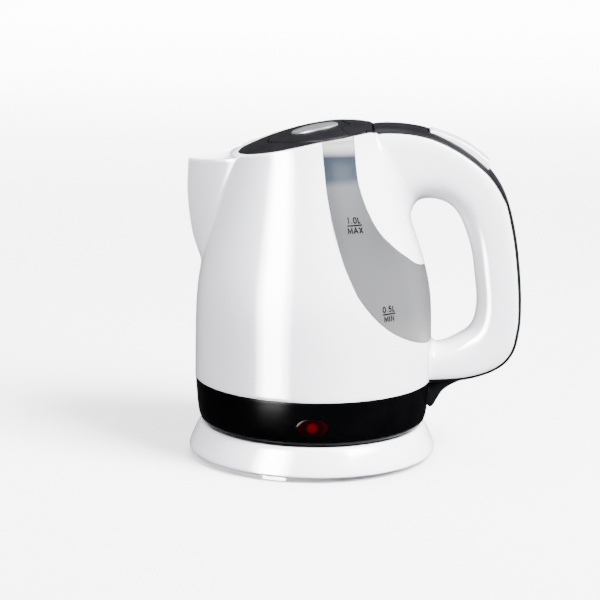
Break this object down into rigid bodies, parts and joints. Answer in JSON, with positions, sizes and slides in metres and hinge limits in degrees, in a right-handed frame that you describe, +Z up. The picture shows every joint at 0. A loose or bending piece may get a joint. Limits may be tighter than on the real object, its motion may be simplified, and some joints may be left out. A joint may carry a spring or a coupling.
{
  "type": "electric kettle",
  "caption": "Cordless electric kettle: tapered jug with spout, side water windows, hinged lid with press button, rocker switch on a loop handle, lamp, and a power base.",
  "frame": {"origin": "on the axis of the body and base, in the plane of the table", "axes": "+Z up, +X from the body's axis to the handle, so the spout points to -X, and +Y to the side where the cord leaves the base"},
  "size_m": [0.1897, 0.1408, 0.1908],
  "materials": {
    "white_plastic": "glossy moulded polypropylene",
    "black_plastic": "dark satin moulding with a fine grain",
    "ring_black": "polished black moulding",
    "smoke_window": "translucent smoke grey moulding, satin inside",
    "silver_button": "silver lacquer on plastic",
    "red_lens": "dark red transparent lens",
    "steel": "stainless steel, brushed or bright zinc",
    "brass": "bright brass contact",
    "grey_plastic": "grey technical plastic",
    "rubber": "soft black rubber",
    "silicone": "translucent silicone rubber",
    "wire_sleeve": "heat resistant wire sleeve"
  },
  "bodies": {
    "base": {"base_cover": "white_plastic", "base_plate": "white_plastic", "base_foot_1": "rubber", "base_foot_2": "rubber", "base_foot_3": "rubber", "base_foot_4": "rubber", "base_screw_1": "steel", "base_screw_2": "steel", "base_screw_3": "steel", "base_socket": "black_plastic", "base_ring_contact": "brass", "base_center_contact": "brass", "cord_gland": "white_plastic"},
    "jug": {"skirt_ring": "ring_black", "indicator_lens": "red_lens", "indicator_lamp": "red_lens", "bottom_cover": "black_plastic", "bottom_screw_1": "steel", "bottom_screw_2": "steel", "bottom_screw_3": "steel", "kettle_control": "black_plastic", "coupler_pin": "brass", "coupler_ring": "brass", "bimetal_disc_1": "steel", "bimetal_disc_2": "steel", "heater_plate": "steel", "heating_element": "steel", "heater_seal": "silicone", "inner_jug": "smoke_window", "filter_frame": "white_plastic", "filter_mesh": "steel", "body_shell": "white_plastic", "handle_shell": "white_plastic", "handle_cover": "black_plastic", "lid_hinge_pin": "steel", "rocker_pin": "steel", "switch_block": "grey_plastic", "steam_bimetal": "steel", "switch_lead_1": "wire_sleeve", "switch_lead_2": "wire_sleeve"},
    "lid": {"lid_cover": "black_plastic", "lid_panel": "black_plastic", "lid_inner": "white_plastic", "lid_seal": "silicone", "button_spring": "steel"},
    "button": {"lid_button": "silver_button"},
    "latch": {"latch_slider": "grey_plastic"},
    "rocker": {"switch_rocker": "white_plastic"},
    "trip": {"trip_lever": "grey_plastic"}
  },
  "joints": [
    {"name": "jug_lift", "type": "slide", "parent": "base", "child": "jug", "axis": [0, 0, 1], "range_m": [0, 0.06]},
    {"name": "lid_hinge", "type": "hinge", "parent": "jug", "child": "lid", "pos_m": [0.0299, 0, 0.1876], "axis": [0, 1, 0], "range_deg": [0, 70]},
    {"name": "button_press", "type": "slide", "parent": "lid", "child": "button", "axis": [0, 0, -1], "range_m": [0, 0.0025], "stiffness_N_per_m": 400, "deforming": ["button_spring"]},
    {"name": "latch_slide", "type": "slide", "parent": "lid", "child": "latch", "axis": [1, 0, 0], "range_m": [0, 0.0025]},
    {"name": "rocker_tilt", "type": "hinge", "parent": "jug", "child": "rocker", "pos_m": [0.08, 0, 0.172], "axis": [0, 1, 0], "range_deg": [0, 7]},
    {"name": "trip_swing", "type": "hinge", "parent": "jug", "child": "trip", "pos_m": [0.0622, 0, 0.161], "axis": [0, 1, 0], "range_deg": [0, 3.5]}
  ],
  "couplings": [
    {"joint": "latch_slide", "follows": "button_press", "ratio": 1},
    {"joint": "trip_swing", "follows": "rocker_tilt", "ratio": 0.5}
  ]
}
